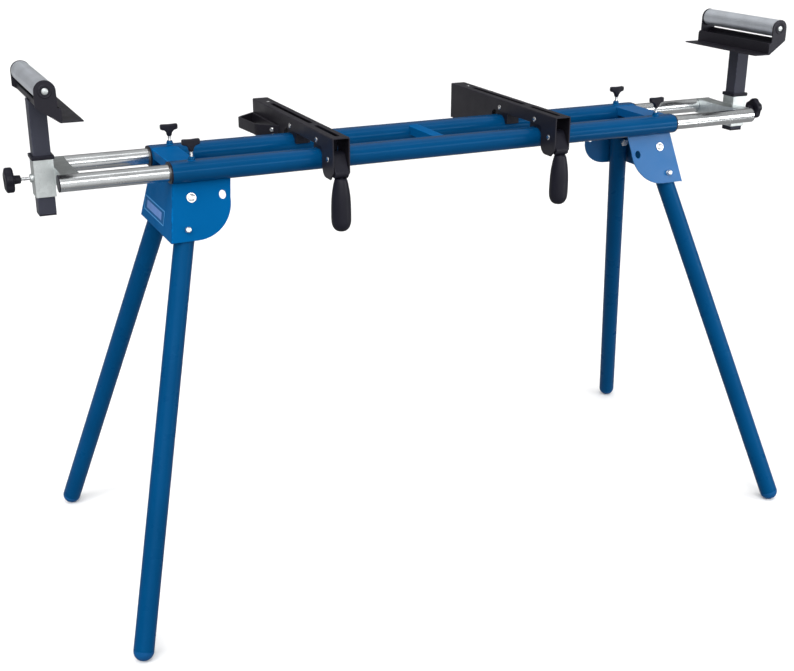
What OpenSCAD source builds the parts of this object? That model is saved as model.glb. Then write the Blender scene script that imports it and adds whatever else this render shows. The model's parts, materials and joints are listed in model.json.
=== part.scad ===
// Folding work stand for a bench saw: twin-tube beam, four folding legs,
// two pull-out roller supports and two clamp-on machine holders.
// X runs along the beam, +Y is the back, +Z is up; origin on the floor under the beam's centre.

/* [Beam] */
// length of both beam tubes
beam_len = 1080; // [900:1:1300]
// distance of each beam tube's centre line from the middle plane
tube_y = 72; // [60:0.5:90]
// width of a beam tube, front to back
tube_w = 49; // [44:0.5:60]
// height of a beam tube
tube_h = 38; // [34:0.5:46]
// wall of a beam tube
tube_wall = 1.5; // [1.2:0.1:2.5]

/* [Legs] */
// leg length from fold pivot to the centre of the round foot
leg_len = 808; // [600:1:900]
// outside radius of a leg tube and of its round foot
leg_r = 18.5; // [15:0.5:25]
// lean of each leg plane, front and back
lean = 18.9; // [10:0.1:25]
// splay of a leg towards its end of the stand
splay = 14.2; // [0:0.1:20]
// fold pivot distance from the middle of the beam
pivot_x = 508; // [420:1:520]
// fold pivot distance from the middle plane, on the leg's centre line
pivot_y = 63.6; // [50:0.1:80]
// fold pivot depth under the tubes' centre line
pivot_drop = 52.6; // [48:0.1:70]
// radius of the circle of lock holes about the pivot
lock_r = 58; // [45:1:70]
// how far short of level the right legs stop when folded
right_droop = 11.5; // [11:0.5:15]

/* [Extensions] */
// outside radius of the pull-out tubes
rod_r = 15; // [12:0.5:18]
// outer end of the pull-out tubes from the middle, left side
rod_end = 735; // [600:1:780]
// length of the pull-out tubes
rod_len = 400; // [300:1:480]
// extra pull-out of the right extension as shown
right_out = 20; // [0:1:25]
// outside width of the square sleeve
sleeve_w = 35; // [30:0.5:45]
// width of the square post
post_w = 30; // [25:0.5:35]
// roller height above the tubes' centre line, left side
roller_up = 164.6; // [120:0.1:220]
// extra height of the right post as shown
right_lift = 24; // [0:1:30]
// roller radius
roller_r = 17.5; // [14:0.5:22]
// half length of a roller
roller_half = 113; // [80:1:140]

/* [Holders] */
// place of the left holder along the beam
holder_xl = -246; // [-400:1:-60]
// place of the right holder along the beam
holder_xr = 221; // [60:1:400]
// outside width of a holder channel
holder_w = 34; // [30:0.5:45]
// front end of the channel
holder_front = -152; // [-170:1:-140]
// rear end of the channel
holder_back = 288; // [200:1:320]
// top of the channel above the tubes' centre line
holder_top = 52; // [45:0.5:60]
// width of the bolt slots
slot_w = 9; // [8:0.5:11]

/* [Hidden] */
$fn = 48;
part_gap = 0.3;
beam_z = leg_r + leg_len * cos(splay) * cos(lean) + pivot_drop;
pivot_z = beam_z - pivot_drop;
half_len = beam_len / 2;
tube_top = beam_z + tube_h / 2;
tube_bot = beam_z - tube_h / 2;
plate_in = leg_r + 1;
plate_t = 2.6;
plate_out = plate_in + plate_t;
plate_top = (tube_bot - 0.05 - pivot_z - plate_out * sin(lean)) / cos(lean);
screw_x = 500;
screw_r = 3;
sleeve_bot = beam_z - 35.5;
sleeve_top = beam_z + 31;
knob_z = beam_z - 3;
sleeve_x0 = rod_end - 5.5;
sleeve_x1 = sleeve_x0 + sleeve_w;
post_x = sleeve_x0 + sleeve_w / 2;
roller_x = post_x + 2;
post_bot = beam_z - 69;
roller_z = beam_z + roller_up;
ear_r = 18;
sheet = 2.5;
lever_y = -127;
lever_z = beam_z + 9;
grip_y = -147;

blue = [0.03, 0.30, 0.60];
zinc = [0.76, 0.77, 0.79];
dark = [0.14, 0.14, 0.16];
steel = [0.72, 0.73, 0.75];

// ---------- helpers ----------

// flat-sided oval bar along X, from x0 to x1, centred on y and z
module oval_bar(x0, x1, y, z, w, h) {
  translate([x0, y - (w - h) / 2, z])
    rotate([0, 90, 0])
      cylinder(h = x1 - x0, r = h / 2);
  translate([x0, y + (w - h) / 2, z])
    rotate([0, 90, 0])
      cylinder(h = x1 - x0, r = h / 2);
  translate([x0, y - (w - h) / 2, z - h / 2])
    cube([x1 - x0, w - h, h]);
}

module x_rod(x0, x1, y, z, r) {
  translate([x0, y, z])
    rotate([0, 90, 0])
      cylinder(h = x1 - x0, r = r);
}

module y_rod(y0, y1, x, z, r) {
  translate([x, y1, z])
    rotate([90, 0, 0])
      cylinder(h = y1 - y0, r = r);
}

// local frame of one bracket plate: pivot at the origin, y along the fold axis, z up the plate
module plate_frame(sx, sy) {
  translate([sx * pivot_x, sy * pivot_y, pivot_z])
    rotate([sy * lean, 0, 0])
      children();
}

// the same frame turned so that the leg runs down its z axis
module leg_frame(sx, sy) {
  plate_frame(sx, sy)
    rotate([0, -sx * splay, 0])
      children();
}

// a rod along the fold axis between two distances from the leg's centre plane
module fold_rod(sy, n0, n1, r) {
  y0 = sy > 0 ? n0 : -n1;
  y1 = sy > 0 ? n1 : -n0;
  y_rod(y0, y1, 0, 0, r);
}

// everything on one extension, drawn for the left side and mirrored for the right
module at_side(sx, out) {
  mirror([sx > 0 ? 1 : 0, 0, 0])
    translate([-out, 0, 0])
      children();
}

// ---------- beam ----------

module beam_tube(sy) {
  color(blue)
    difference() {
      oval_bar(-half_len, half_len, sy * tube_y, beam_z, tube_w, tube_h);
      oval_bar(-half_len - 1, half_len + 1, sy * tube_y, beam_z,
        tube_w - 2 * tube_wall, tube_h - 2 * tube_wall);
      translate([-screw_x, sy * tube_y, beam_z])
        cylinder(h = tube_h, r = screw_r + part_gap);
      translate([screw_x, sy * tube_y, beam_z])
        cylinder(h = tube_h, r = screw_r + part_gap);
    }
}

module beam_tube_front() {
  beam_tube(-1);
}

module beam_tube_rear() {
  beam_tube(1);
}

module tube_guide(sx, sy) {
  mirror([sx > 0 ? 0 : 1, 0, 0])
    difference() {
      union() {
        oval_bar(half_len - 18, half_len, sy * tube_y, beam_z,
          tube_w - 2 * tube_wall, tube_h - 2 * tube_wall);
        oval_bar(half_len, half_len + 3, sy * tube_y, beam_z, tube_w - 0.6, tube_h - 0.6);
      }
      x_rod(half_len - 20, half_len + 5, sy * tube_y, beam_z, rod_r + 0.1);
    }
}

module tube_guides() {
  color(dark)
    for (sx = [-1, 1])
      for (sy = [-1, 1])
        tube_guide(sx, sy);
}

module clamp_bosses() {
  color(blue)
    for (sx = [-1, 1])
      for (sy = [-1, 1])
        translate([sx * screw_x, sy * tube_y, tube_top])
          difference() {
            cylinder(h = 7, r = 6.5);
            translate([0, 0, -1])
              cylinder(h = 9, r = screw_r + 0.05);
          }
}

// folded sheet between the tubes: a flat top with two short flanges turned down
module cross_plate(x0, x1) {
  z1 = tube_top - 2.6;
  color(blue)
    difference() {
      union() {
        translate([x0, -tube_y, z1 - 2.4])
          cube([x1 - x0, 2 * tube_y, 2.4]);
        translate([x0, -tube_y, z1 - 17])
          cube([2.4, 2 * tube_y, 17]);
        translate([x1 - 2.4, -tube_y, z1 - 17])
          cube([2.4, 2 * tube_y, 17]);
      }
      oval_bar(x0 - 1, x1 + 1, -tube_y, beam_z, tube_w, tube_h);
      oval_bar(x0 - 1, x1 + 1, tube_y, beam_z, tube_w, tube_h);
    }
}

module cross_plate_left() {
  cross_plate(-half_len + 1, -half_len + 51);
}

module cross_plate_centre() {
  cross_plate(-12, 12);
}

module cross_plate_right() {
  cross_plate(half_len - 51, half_len - 1);
}

// ---------- leg brackets ----------

// outline of a leaning plate; u is the distance inwards from the pivot
plate_arc = [for (a = [0 : 6 : 90]) [2 + 70 * sin(a), -7 - 70 * cos(a)]];
plate_line = concat([[-30, plate_top], [-47, -77]], plate_arc, [[77, plate_top]]);

module bracket_plate(sx, sy, stowed_a) {
  plate_frame(sx, sy)
    difference() {
      translate([0, sy > 0 ? plate_out : -plate_in, 0])
        rotate([90, 0, 0])
          linear_extrude(height = plate_t)
            polygon([for (p = plate_line) [-sx * p[0], p[1]]]);
      y_rod(-30, 30, 0, 0, 5.1);
      rotate([0, -sx * splay, 0])
        y_rod(-30, 30, 0, -lock_r, 5.4);
      translate([-sx * lock_r * cos(stowed_a), 0, -lock_r * sin(stowed_a)])
        scale([1, 1, 1.25])
          y_rod(-30, 30, 0, 0, 6.5);
    }
}

module leg_bracket(sx, stowed_a) {
  z_low = pivot_z - 77 * cos(lean) + plate_in * sin(lean);
  y_low = pivot_y + plate_in * cos(lean) + 77 * sin(lean) + 1.5;
  y_top = pivot_y + plate_out * cos(lean) - plate_top * sin(lean) - 0.4;
  color(blue)
    union() {
      bracket_plate(sx, -1, stowed_a);
      bracket_plate(sx, 1, stowed_a);
      hull() {
        translate([sx * (pivot_x + 29) - 1.25, -y_top, tube_bot - 0.25])
          cube([2.5, 2 * y_top, 0.2]);
        translate([sx * (pivot_x + 46) - 1.25, -y_low, z_low])
          cube([2.5, 2 * y_low, 0.2]);
      }
      translate([sx > 0 ? pivot_x - 76 : -pivot_x - 30, -y_top + 2, tube_bot - 2.1])
        cube([106, 2 * y_top - 4, 2]);
    }
}

module leg_bracket_left() {
  leg_bracket(-1, 0);
}

module leg_bracket_right() {
  leg_bracket(1, right_droop);
}

module pivot_bolt(sx, sy) {
  plate_frame(sx, sy) {
    fold_rod(sy, -leg_r - 1, plate_out, 5);
    fold_rod(sy, plate_out, plate_out + 1.5, 9);
    fold_rod(sy, plate_out + 1.5, plate_out + 4.2, 7);
    rotate([90, 0, 0])
      translate([0, 0, sy > 0 ? leg_r + 1 : -leg_r - 9])
        cylinder(h = 8, r = 9, $fn = 6);
  }
}

module leg_pivot_bolts() {
  color(steel)
    for (sx = [-1, 1])
      for (sy = [-1, 1])
        pivot_bolt(sx, sy);
}

// ---------- legs ----------

module leg_tube(sx, sy) {
  color(blue)
    leg_frame(sx, sy)
      difference() {
        translate([0, 0, -leg_len])
          cylinder(h = leg_len + 18, r = leg_r);
        translate([0, 0, -leg_len - 1])
          cylinder(h = leg_len + 20, r = leg_r - 1.5);
        y_rod(-30, 30, 0, 0, 5.05);
        translate([0, 0, -lock_r])
          fold_rod(sy, 0, 30, 5.4);
      }
}

module foot_cap(sx, sy) {
  color(blue)
    leg_frame(sx, sy)
      translate([0, 0, -leg_len])
        union() {
          intersection() {
            sphere(r = leg_r);
            translate([-30, -30, -30])
              cube([60, 60, 30]);
          }
          cylinder(h = 25, r = leg_r - 1.5);
        }
}

module leg_front_left() {
  leg_tube(-1, -1);
}

module leg_rear_left() {
  leg_tube(-1, 1);
}

module leg_front_right() {
  leg_tube(1, -1);
}

module leg_rear_right() {
  leg_tube(1, 1);
}

module foot_front_left() {
  foot_cap(-1, -1);
}

module foot_rear_left() {
  foot_cap(-1, 1);
}

module foot_front_right() {
  foot_cap(1, -1);
}

module foot_rear_right() {
  foot_cap(1, 1);
}

// pull pin in the plate's working hole, with a flange each side of the plate
module lock_pin(sx, sy) {
  color(steel)
    leg_frame(sx, sy)
      translate([0, 0, -lock_r])
        union() {
          fold_rod(sy, leg_r + 0.5, plate_out + 6.5, 5.3);
          fold_rod(sy, plate_out + 6.5, plate_out + 7.7, 4.3);
        }
}

module lock_pin_front_left() {
  lock_pin(-1, -1);
}

module lock_pin_rear_left() {
  lock_pin(-1, 1);
}

module lock_pin_front_right() {
  lock_pin(1, -1);
}

module lock_pin_rear_right() {
  lock_pin(1, 1);
}

// ---------- wing screws ----------

module wing_screw(sx, sy) {
  tip = beam_z + rod_r + part_gap;
  color(dark)
    translate([sx * screw_x, sy * tube_y, 0])
      union() {
        translate([0, 0, tip])
          cylinder(h = tube_top + 24 - tip, r = screw_r);
        translate([0, 0, tube_top + 16])
          cylinder(h = 11, r1 = 3.6, r2 = 8.5);
        translate([-16.5, -6, tube_top + 27])
          cube([33, 12, 11]);
      }
}

module wing_screw_front_left() {
  wing_screw(-1, -1);
}

module wing_screw_rear_left() {
  wing_screw(-1, 1);
}

module wing_screw_front_right() {
  wing_screw(1, -1);
}

module wing_screw_rear_right() {
  wing_screw(1, 1);
}

// ---------- extensions ----------

module rods(sx, out) {
  color(zinc)
    at_side(sx, out)
      for (sy = [-1, 1])
        difference() {
          x_rod(-rod_end + 2, -rod_end + rod_len, sy * tube_y, beam_z, rod_r);
          x_rod(-rod_end, -rod_end + rod_len + 2, sy * tube_y, beam_z, rod_r - 1.5);
        }
}

module rod_caps(sx, out) {
  color(dark)
    at_side(sx, out)
      for (sy = [-1, 1])
        union() {
          x_rod(-rod_end, -rod_end + 2, sy * tube_y, beam_z, rod_r);
          x_rod(-rod_end + 2, -rod_end + 20, sy * tube_y, beam_z, rod_r - 1.5);
        }
}

module crossbar(sx, out) {
  color(zinc)
    at_side(sx, out)
      difference() {
        translate([-sleeve_x0, -tube_y, beam_z - 15])
          cube([31.5, 2 * tube_y, 30]);
        translate([-sleeve_x0 + 2, -tube_y - 1, beam_z - 13])
          cube([27.5, 2 * tube_y + 2, 26]);
        x_rod(-rod_end - 5, -rod_end + 50, -tube_y, beam_z, rod_r);
        x_rod(-rod_end - 5, -rod_end + 50, tube_y, beam_z, rod_r);
        translate([-sleeve_x0 - 1, tube_y, beam_z - 20])
          cube([40, 20, 40]);
        translate([-sleeve_x0 - 1, -tube_y - 20, beam_z - 20])
          cube([40, 20, 40]);
      }
}

module sleeve(sx, out) {
  inner = post_w + 2 * part_gap;
  color(zinc)
    at_side(sx, out)
      difference() {
        union() {
          translate([-sleeve_x1, -sleeve_w / 2, sleeve_bot])
            cube([sleeve_w, sleeve_w, sleeve_top - sleeve_bot]);
          x_rod(-sleeve_x1 - 5, -sleeve_x1, 0, knob_z, 7.5);
        }
        translate([-post_x - inner / 2, -inner / 2, sleeve_bot - 1])
          cube([inner, inner, sleeve_top - sleeve_bot + 2]);
        x_rod(-sleeve_x1 - 10, -post_x, 0, knob_z, screw_r + 0.1);
      }
}

module collar(sx, out) {
  inner = post_w + 2 * part_gap;
  color(dark)
    at_side(sx, out)
      difference() {
        translate([-post_x - 19.5, -19.5, sleeve_top])
          cube([39, 39, 7]);
        translate([-post_x - inner / 2, -inner / 2, sleeve_top - 1])
          cube([inner, inner, 9]);
      }
}

module post_knob(sx, out) {
  k0 = post_x + post_w / 2 + part_gap;
  color(dark)
    at_side(sx, out)
      difference() {
        union() {
          x_rod(-sleeve_x1 - 22, -k0, 0, knob_z, screw_r);
          x_rod(-sleeve_x1 - 34, -sleeve_x1 - 21, 0, knob_z, 8);
          x_rod(-sleeve_x1 - 48, -sleeve_x1 - 33, 0, knob_z, 22.5);
        }
        for (a = [0 : 72 : 288])
          x_rod(-sleeve_x1 - 49, -sleeve_x1 - 32, 28 * sin(a), knob_z + 28 * cos(a), 9);
      }
}

// roller bracket, x inwards and y up from the roller's axis: height of the sloping floor's underside
function floor_y(x) = -53.5 - 0.713 * (x - 20.8);

// bent sheet between the two ears: short outer wall, sloping floor, inner web and flat ledge
module bracket_sheet() {
  inside = 3.07;
  polygon([[-10, -22], [-10, floor_y(-10)], [20.8, -53.5], [58.5, -53.5], [58.5, -51], [24, -51],
    [24, -29], [21.5, -29], [21.5, floor_y(21.5) + inside], [-7.5, floor_y(-7.5) + inside],
    [-7.5, -22]]);
}

module end_sheet() {
  polygon(concat([[-ear_r, floor_y(-ear_r)], [20.8, -53.5], [24, -53.5], [24, -32.5], [20.5, -29],
    [ear_r, -29]], [for (a = [0 : 10 : 180]) [ear_r * cos(a), ear_r * sin(a)]]));
}

module along_y(y0, y1, lift) {
  translate([-roller_x, y1, roller_z + lift])
    rotate([90, 0, 0])
      linear_extrude(height = y1 - y0)
        children();
}

module roller_bracket(sx, out, lift) {
  half = roller_half + 4.5;
  color(dark)
    at_side(sx, out)
      difference() {
        union() {
          along_y(-half + sheet, half - sheet, lift)
            bracket_sheet();
          along_y(-half, -half + sheet, lift)
            end_sheet();
          along_y(half - sheet, half, lift)
            end_sheet();
          along_y(-half, -half + sheet, lift)
            polygon([[24, -53.5], [58.5, -53.5], [58.5, -51], [24, -51]]);
          along_y(half - sheet, half, lift)
            polygon([[24, -53.5], [58.5, -53.5], [58.5, -51], [24, -51]]);
        }
        y_rod(-half - 1, half + 1, -roller_x, roller_z + lift, 5);
      }
}

module post(sx, out, lift) {
  color(dark)
    at_side(sx, out)
      difference() {
        translate([-post_x - post_w / 2, -post_w / 2, post_bot + lift + 3])
          cube([post_w, post_w, roller_z - post_bot - 23]);
        translate([-post_x - post_w / 2 + 2, -post_w / 2 + 2, post_bot + lift])
          cube([post_w - 4, post_w - 4, roller_z - post_bot]);
        along_y(-40, 40, lift)
          polygon([[-40, floor_y(-40)], [20.8, -53.5], [60, -53.5], [60, 20], [-40, 20]]);
      }
}

module post_cap(sx, out, lift) {
  color(dark)
    at_side(sx, out)
      union() {
        translate([-post_x - post_w / 2, -post_w / 2, post_bot + lift])
          cube([post_w, post_w, 3]);
        translate([-post_x - post_w / 2 + 2, -post_w / 2 + 2, post_bot + lift + 3])
          cube([post_w - 4, post_w - 4, 14]);
      }
}

module axle(sx, out, lift) {
  half = roller_half + 4.5;
  color(steel)
    at_side(sx, out)
      union() {
        y_rod(-half, half, -roller_x, roller_z + lift, 5);
        y_rod(-half - 2.5, -half, -roller_x, roller_z + lift, 5.6);
        y_rod(half, half + 2.5, -roller_x, roller_z + lift, 5.6);
      }
}

module roller(sx, out, lift) {
  color(zinc)
    at_side(sx, out)
      difference() {
        y_rod(-roller_half, roller_half, -roller_x, roller_z + lift, roller_r);
        y_rod(-roller_half - 1, roller_half + 1, -roller_x, roller_z + lift, 5.06);
      }
}

module rods_left() {
  rods(-1, 0);
}

module rods_right() {
  rods(1, right_out);
}

module rod_caps_left() {
  rod_caps(-1, 0);
}

module rod_caps_right() {
  rod_caps(1, right_out);
}

module crossbar_left() {
  crossbar(-1, 0);
}

module crossbar_right() {
  crossbar(1, right_out);
}

module sleeve_left() {
  sleeve(-1, 0);
}

module sleeve_right() {
  sleeve(1, right_out);
}

module collar_left() {
  collar(-1, 0);
}

module collar_right() {
  collar(1, right_out);
}

module post_knob_left() {
  post_knob(-1, 0);
}

module post_knob_right() {
  post_knob(1, right_out);
}

module post_left() {
  post(-1, 0, 0);
}

module post_right() {
  post(1, right_out, right_lift);
}

module post_cap_left() {
  post_cap(-1, 0, 0);
}

module post_cap_right() {
  post_cap(1, right_out, right_lift);
}

module roller_bracket_left() {
  roller_bracket(-1, 0, 0);
}

module roller_bracket_right() {
  roller_bracket(1, right_out, right_lift);
}

module axle_left() {
  axle(-1, 0, 0);
}

module axle_right() {
  axle(1, right_out, right_lift);
}

module roller_left() {
  roller(-1, 0, 0);
}

module roller_right() {
  roller(1, right_out, right_lift);
}

// ---------- machine holders ----------

top_z = beam_z + holder_top;
ear_z = beam_z - 27;
wall_low = beam_z + 27;
pin_z = beam_z + 35;
rivet_y = 238;

module slot_cut(x, y0, y1) {
  translate([x, y0 + slot_w / 2, top_z - 10])
    cylinder(h = 20, r = slot_w / 2);
  translate([x, y1 - slot_w / 2, top_z - 10])
    cylinder(h = 20, r = slot_w / 2);
  translate([x - slot_w / 2, y0 + slot_w / 2, top_z - 10])
    cube([slot_w, y1 - y0 - slot_w, 20]);
}

// side wall in the Y-Z plane
module holder_wall(x0) {
  ear_arc = [for (a = [0 : 10 : 90]) [-117.5 + 18 * sin(a), ear_z + 18 - 18 * cos(a)]];
  translate([x0, 0, 0])
    rotate([90, 0, 90])
      linear_extrude(height = sheet)
        polygon(concat([[holder_front, top_z], [holder_front, ear_z + 14], [holder_front + 14, ear_z]],
          ear_arc, [[-99.5, wall_low - 3], [-93, wall_low], [92, wall_low], [99.5, wall_low - 6],
          [99.5, ear_z + 3], [holder_back, ear_z + 3], [holder_back, top_z]]));
}

module holder(x) {
  w = holder_w / 2;
  color(dark)
    difference() {
      union() {
        translate([x - w, holder_front, top_z - sheet])
          cube([holder_w, holder_back - holder_front, sheet]);
        holder_wall(x - w);
        holder_wall(x + w - sheet);
        translate([x - w, holder_back - sheet, ear_z + 3])
          cube([holder_w, sheet, top_z - ear_z - 3]);
      }
      slot_cut(x, -136, -28);
      slot_cut(x, -4, 216);
      x_rod(x - 20, x + 20, lever_y, lever_z, 3);
      x_rod(x - 20, x + 20, -tube_y, pin_z, 3);
      x_rod(x - 20, x + 20, tube_y - 4, pin_z, 3);
      translate([x, rivet_y, top_z - 10])
        cylinder(h = 20, r = 2.5);
      translate([x, rivet_y, top_z - 1.5])
        cylinder(h = 1.8, r1 = 2.5, r2 = 4.9);
    }
}

module holder_pads(x) {
  w = holder_w / 2 - sheet;
  color(dark)
    for (y = [-tube_y, tube_y - 4])
      difference() {
        translate([x - w, y - 28, beam_z + 4])
          cube([2 * w, 48, top_z - sheet - beam_z - 14]);
        oval_bar(x - 20, x + 20, y < 0 ? -tube_y : tube_y, beam_z, tube_w + 0.6, tube_h + 0.6);
        x_rod(x - 20, x + 20, y, pin_z, 3);
      }
}

module rivet(x, y, z) {
  w = holder_w / 2;
  x_rod(x - w, x + w, y, z, 3);
  x_rod(x - w - 1.6, x - w, y, z, 5);
  x_rod(x + w, x + w + 1.6, y, z, 5);
}

module holder_pins(x) {
  color(steel)
    union() {
      rivet(x, lever_y, lever_z);
      rivet(x, -tube_y, pin_z);
      rivet(x, tube_y - 4, pin_z);
      translate([x, rivet_y, top_z - sheet - 1])
        cylinder(h = sheet + 1, r = 2.5);
      translate([x, rivet_y, top_z - 1.5])
        cylinder(h = 1.5, r1 = 2.5, r2 = 4.5);
    }
}

// five-sided loop on the outer side of the left holder, open at the top and bottom
module holder_loop() {
  color(dark)
    translate([holder_xl - holder_w / 2, 0, beam_z + 2])
      difference() {
        linear_extrude(height = 22)
          polygon([[0, 286], [-40, 254], [-46, 246], [-46, 236], [-39, 164], [-34, 157], [0, 128]]);
        translate([0, 0, -1])
          linear_extrude(height = 24)
            polygon([[-4, 277.7], [-38, 250.5], [-42, 244.5], [-42, 236.3], [-35.1, 165],
              [-31.5, 160.2], [-4, 136.7]]);
      }
}

module lever(x) {
  w = holder_w / 2 - sheet - 1;
  color(dark)
    difference() {
      union() {
        hull() {
          x_rod(x - w, x + w, lever_y, lever_z, 14);
          x_rod(x - w, x + w, lever_y + 9, lever_z - 10, 14);
          x_rod(x - w, x + w, grip_y, beam_z - 14, 8.5);
        }
        translate([x, grip_y, beam_z - 70])
          cylinder(h = 55, r = 5);
      }
      x_rod(x - 20, x + 20, lever_y, lever_z, 3.05);
    }
}

module grip(x) {
  color(dark)
    translate([x, grip_y, beam_z - 122])
      rotate_extrude()
        polygon([[0, 0], [5, 0.6], [10, 3], [14, 7], [17, 13], [18.5, 22], [18.5, 45], [17.8, 62],
          [16.5, 74], [14.5, 86], [12.5, 95], [12, 99], [5, 99], [5, 52], [0, 52]]);
}

module holder_left() {
  holder(holder_xl);
}

module holder_right() {
  holder(holder_xr);
}

module holder_pads_left() {
  holder_pads(holder_xl);
}

module holder_pads_right() {
  holder_pads(holder_xr);
}

module holder_pins_left() {
  holder_pins(holder_xl);
}

module holder_pins_right() {
  holder_pins(holder_xr);
}

module lever_left() {
  lever(holder_xl);
}

module lever_right() {
  lever(holder_xr);
}

module grip_left() {
  grip(holder_xl);
}

module grip_right() {
  grip(holder_xr);
}

// ---------- drawing ----------

beam_tube_front();
beam_tube_rear();
tube_guides();
clamp_bosses();
cross_plate_left();
cross_plate_centre();
cross_plate_right();
leg_bracket_left();
leg_bracket_right();
leg_pivot_bolts();
leg_front_left();
leg_rear_left();
leg_front_right();
leg_rear_right();
foot_front_left();
foot_rear_left();
foot_front_right();
foot_rear_right();
lock_pin_front_left();
lock_pin_rear_left();
lock_pin_front_right();
lock_pin_rear_right();
wing_screw_front_left();
wing_screw_rear_left();
wing_screw_front_right();
wing_screw_rear_right();
rods_left();
rods_right();
rod_caps_left();
rod_caps_right();
crossbar_left();
crossbar_right();
sleeve_left();
sleeve_right();
collar_left();
collar_right();
post_knob_left();
post_knob_right();
post_left();
post_right();
post_cap_left();
post_cap_right();
roller_bracket_left();
roller_bracket_right();
axle_left();
axle_right();
roller_left();
roller_right();
holder_left();
holder_right();
holder_pads_left();
holder_pads_right();
holder_pins_left();
holder_pins_right();
holder_loop();
lever_left();
lever_right();
grip_left();
grip_right();
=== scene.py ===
"""Looks of the folding saw stand: powder-coated tubes and brackets, zinc-plated pull-out tubes, black
roller supports and machine holders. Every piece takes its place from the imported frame, in metres."""

import json
import math

import bmesh
import bpy
from mathutils import Matrix, Vector


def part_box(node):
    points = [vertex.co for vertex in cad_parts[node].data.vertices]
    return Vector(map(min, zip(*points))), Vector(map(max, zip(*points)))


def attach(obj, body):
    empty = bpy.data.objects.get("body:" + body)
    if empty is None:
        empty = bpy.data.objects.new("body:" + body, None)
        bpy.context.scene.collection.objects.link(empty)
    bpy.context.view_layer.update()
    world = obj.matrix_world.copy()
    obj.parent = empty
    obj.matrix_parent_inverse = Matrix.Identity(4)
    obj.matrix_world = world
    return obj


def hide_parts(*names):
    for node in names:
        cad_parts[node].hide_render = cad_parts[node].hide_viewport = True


MM = 0.001
TAU = 2 * math.pi
SIDES = {"left": -1, "right": 1}
ENDS = {"front": -1, "rear": 1}
CORNERS = [(end, side) for side in SIDES for end in ENDS]
PLATES = ("left", "centre", "right")

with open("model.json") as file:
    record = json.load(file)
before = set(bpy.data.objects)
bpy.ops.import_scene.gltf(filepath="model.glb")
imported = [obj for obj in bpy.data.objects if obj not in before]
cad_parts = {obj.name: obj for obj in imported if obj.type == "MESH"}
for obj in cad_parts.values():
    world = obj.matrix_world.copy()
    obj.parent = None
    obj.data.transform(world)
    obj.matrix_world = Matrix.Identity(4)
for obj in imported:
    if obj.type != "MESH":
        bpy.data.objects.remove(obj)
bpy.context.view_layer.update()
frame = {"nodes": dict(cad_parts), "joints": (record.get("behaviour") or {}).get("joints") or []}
joints = {j["name"]: j for j in frame["joints"]}

# ---------- places taken from the frame ----------

tube_low, tube_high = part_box("beam_tube_front")
BEAM_Z = (tube_low.z + tube_high.z) / 2
TUBE_TOP = tube_high.z
TUBE_Y = -(tube_low.y + tube_high.y) / 2
TUBE_R = (tube_high.z - tube_low.z) / 2
TUBE_FLAT = (tube_high.y - tube_low.y) / 2 - TUBE_R

# ---------- sizes shared with the part's source ----------

LEAN = math.radians(18.9)  # legs, across the beam
SPLAY = math.radians(14.2)  # legs, along the beam
LEG_LEN = 808 * MM  # pivot to the middle of the foot's round end
LEG_R = 18.5 * MM
LOCK_DOWN = 58 * MM  # pivot to lock pin, down the leg
PLATE_OUT = 22.1 * MM  # leg axis to the outer face of a bracket's side plate
BOSS_X = 500 * MM  # wing screws, either side of the middle
BRACKET_FOLD_X = 530 * MM  # a bracket's upright folds all lie beyond this
END_PLATE_X = 538.25 * MM  # top edge of a bracket's sloping end plate
BADGE_UP, BADGE_Y = 30.5 * MM, 20 * MM  # centre, up the end plate from its foot and towards the rear
BADGE_HALF_LONG, BADGE_HALF_HIGH = 70 * MM, 14.5 * MM
FOOT_IN = 25 * MM  # reach of a foot cap's plug into its leg
THREAD_R, THREAD_DEPTH, THREAD_PITCH = 3 * MM, 0.5 * MM, 1 * MM  # M6
HAIR = 0.02 * MM  # two places closer than this are the same place


def leg_place(end, side, splay=SPLAY):
    """Frame of one leg: pivot at the origin, +Z up the leg, local Y along the fold axis."""
    pivot = Vector(joints[f"leg_{end}_{side}_fold"]["pos_m"])
    lean = Matrix.Rotation(ENDS[end] * LEAN, 4, "X")
    return Matrix.Translation(pivot) @ lean @ Matrix.Rotation(-SIDES[side] * splay, 4, "Y")


def outward(end, side, down=0.0, splay=SPLAY):
    """Frame some way down a leg from its pivot, with +Z out through the bracket's side plate."""
    place = leg_place(end, side, splay) @ Matrix.Translation((0, 0, -down))
    return place @ Matrix.Rotation(-ENDS[end] * TAU / 4, 4, "X")


def along(origin, axis):
    """Frame with its origin there and +Z along the axis."""
    return Matrix.Translation(Vector(origin)) @ Vector(axis).to_track_quat("Z", "Y").to_matrix().to_4x4()


# ---------- materials ----------


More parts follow.
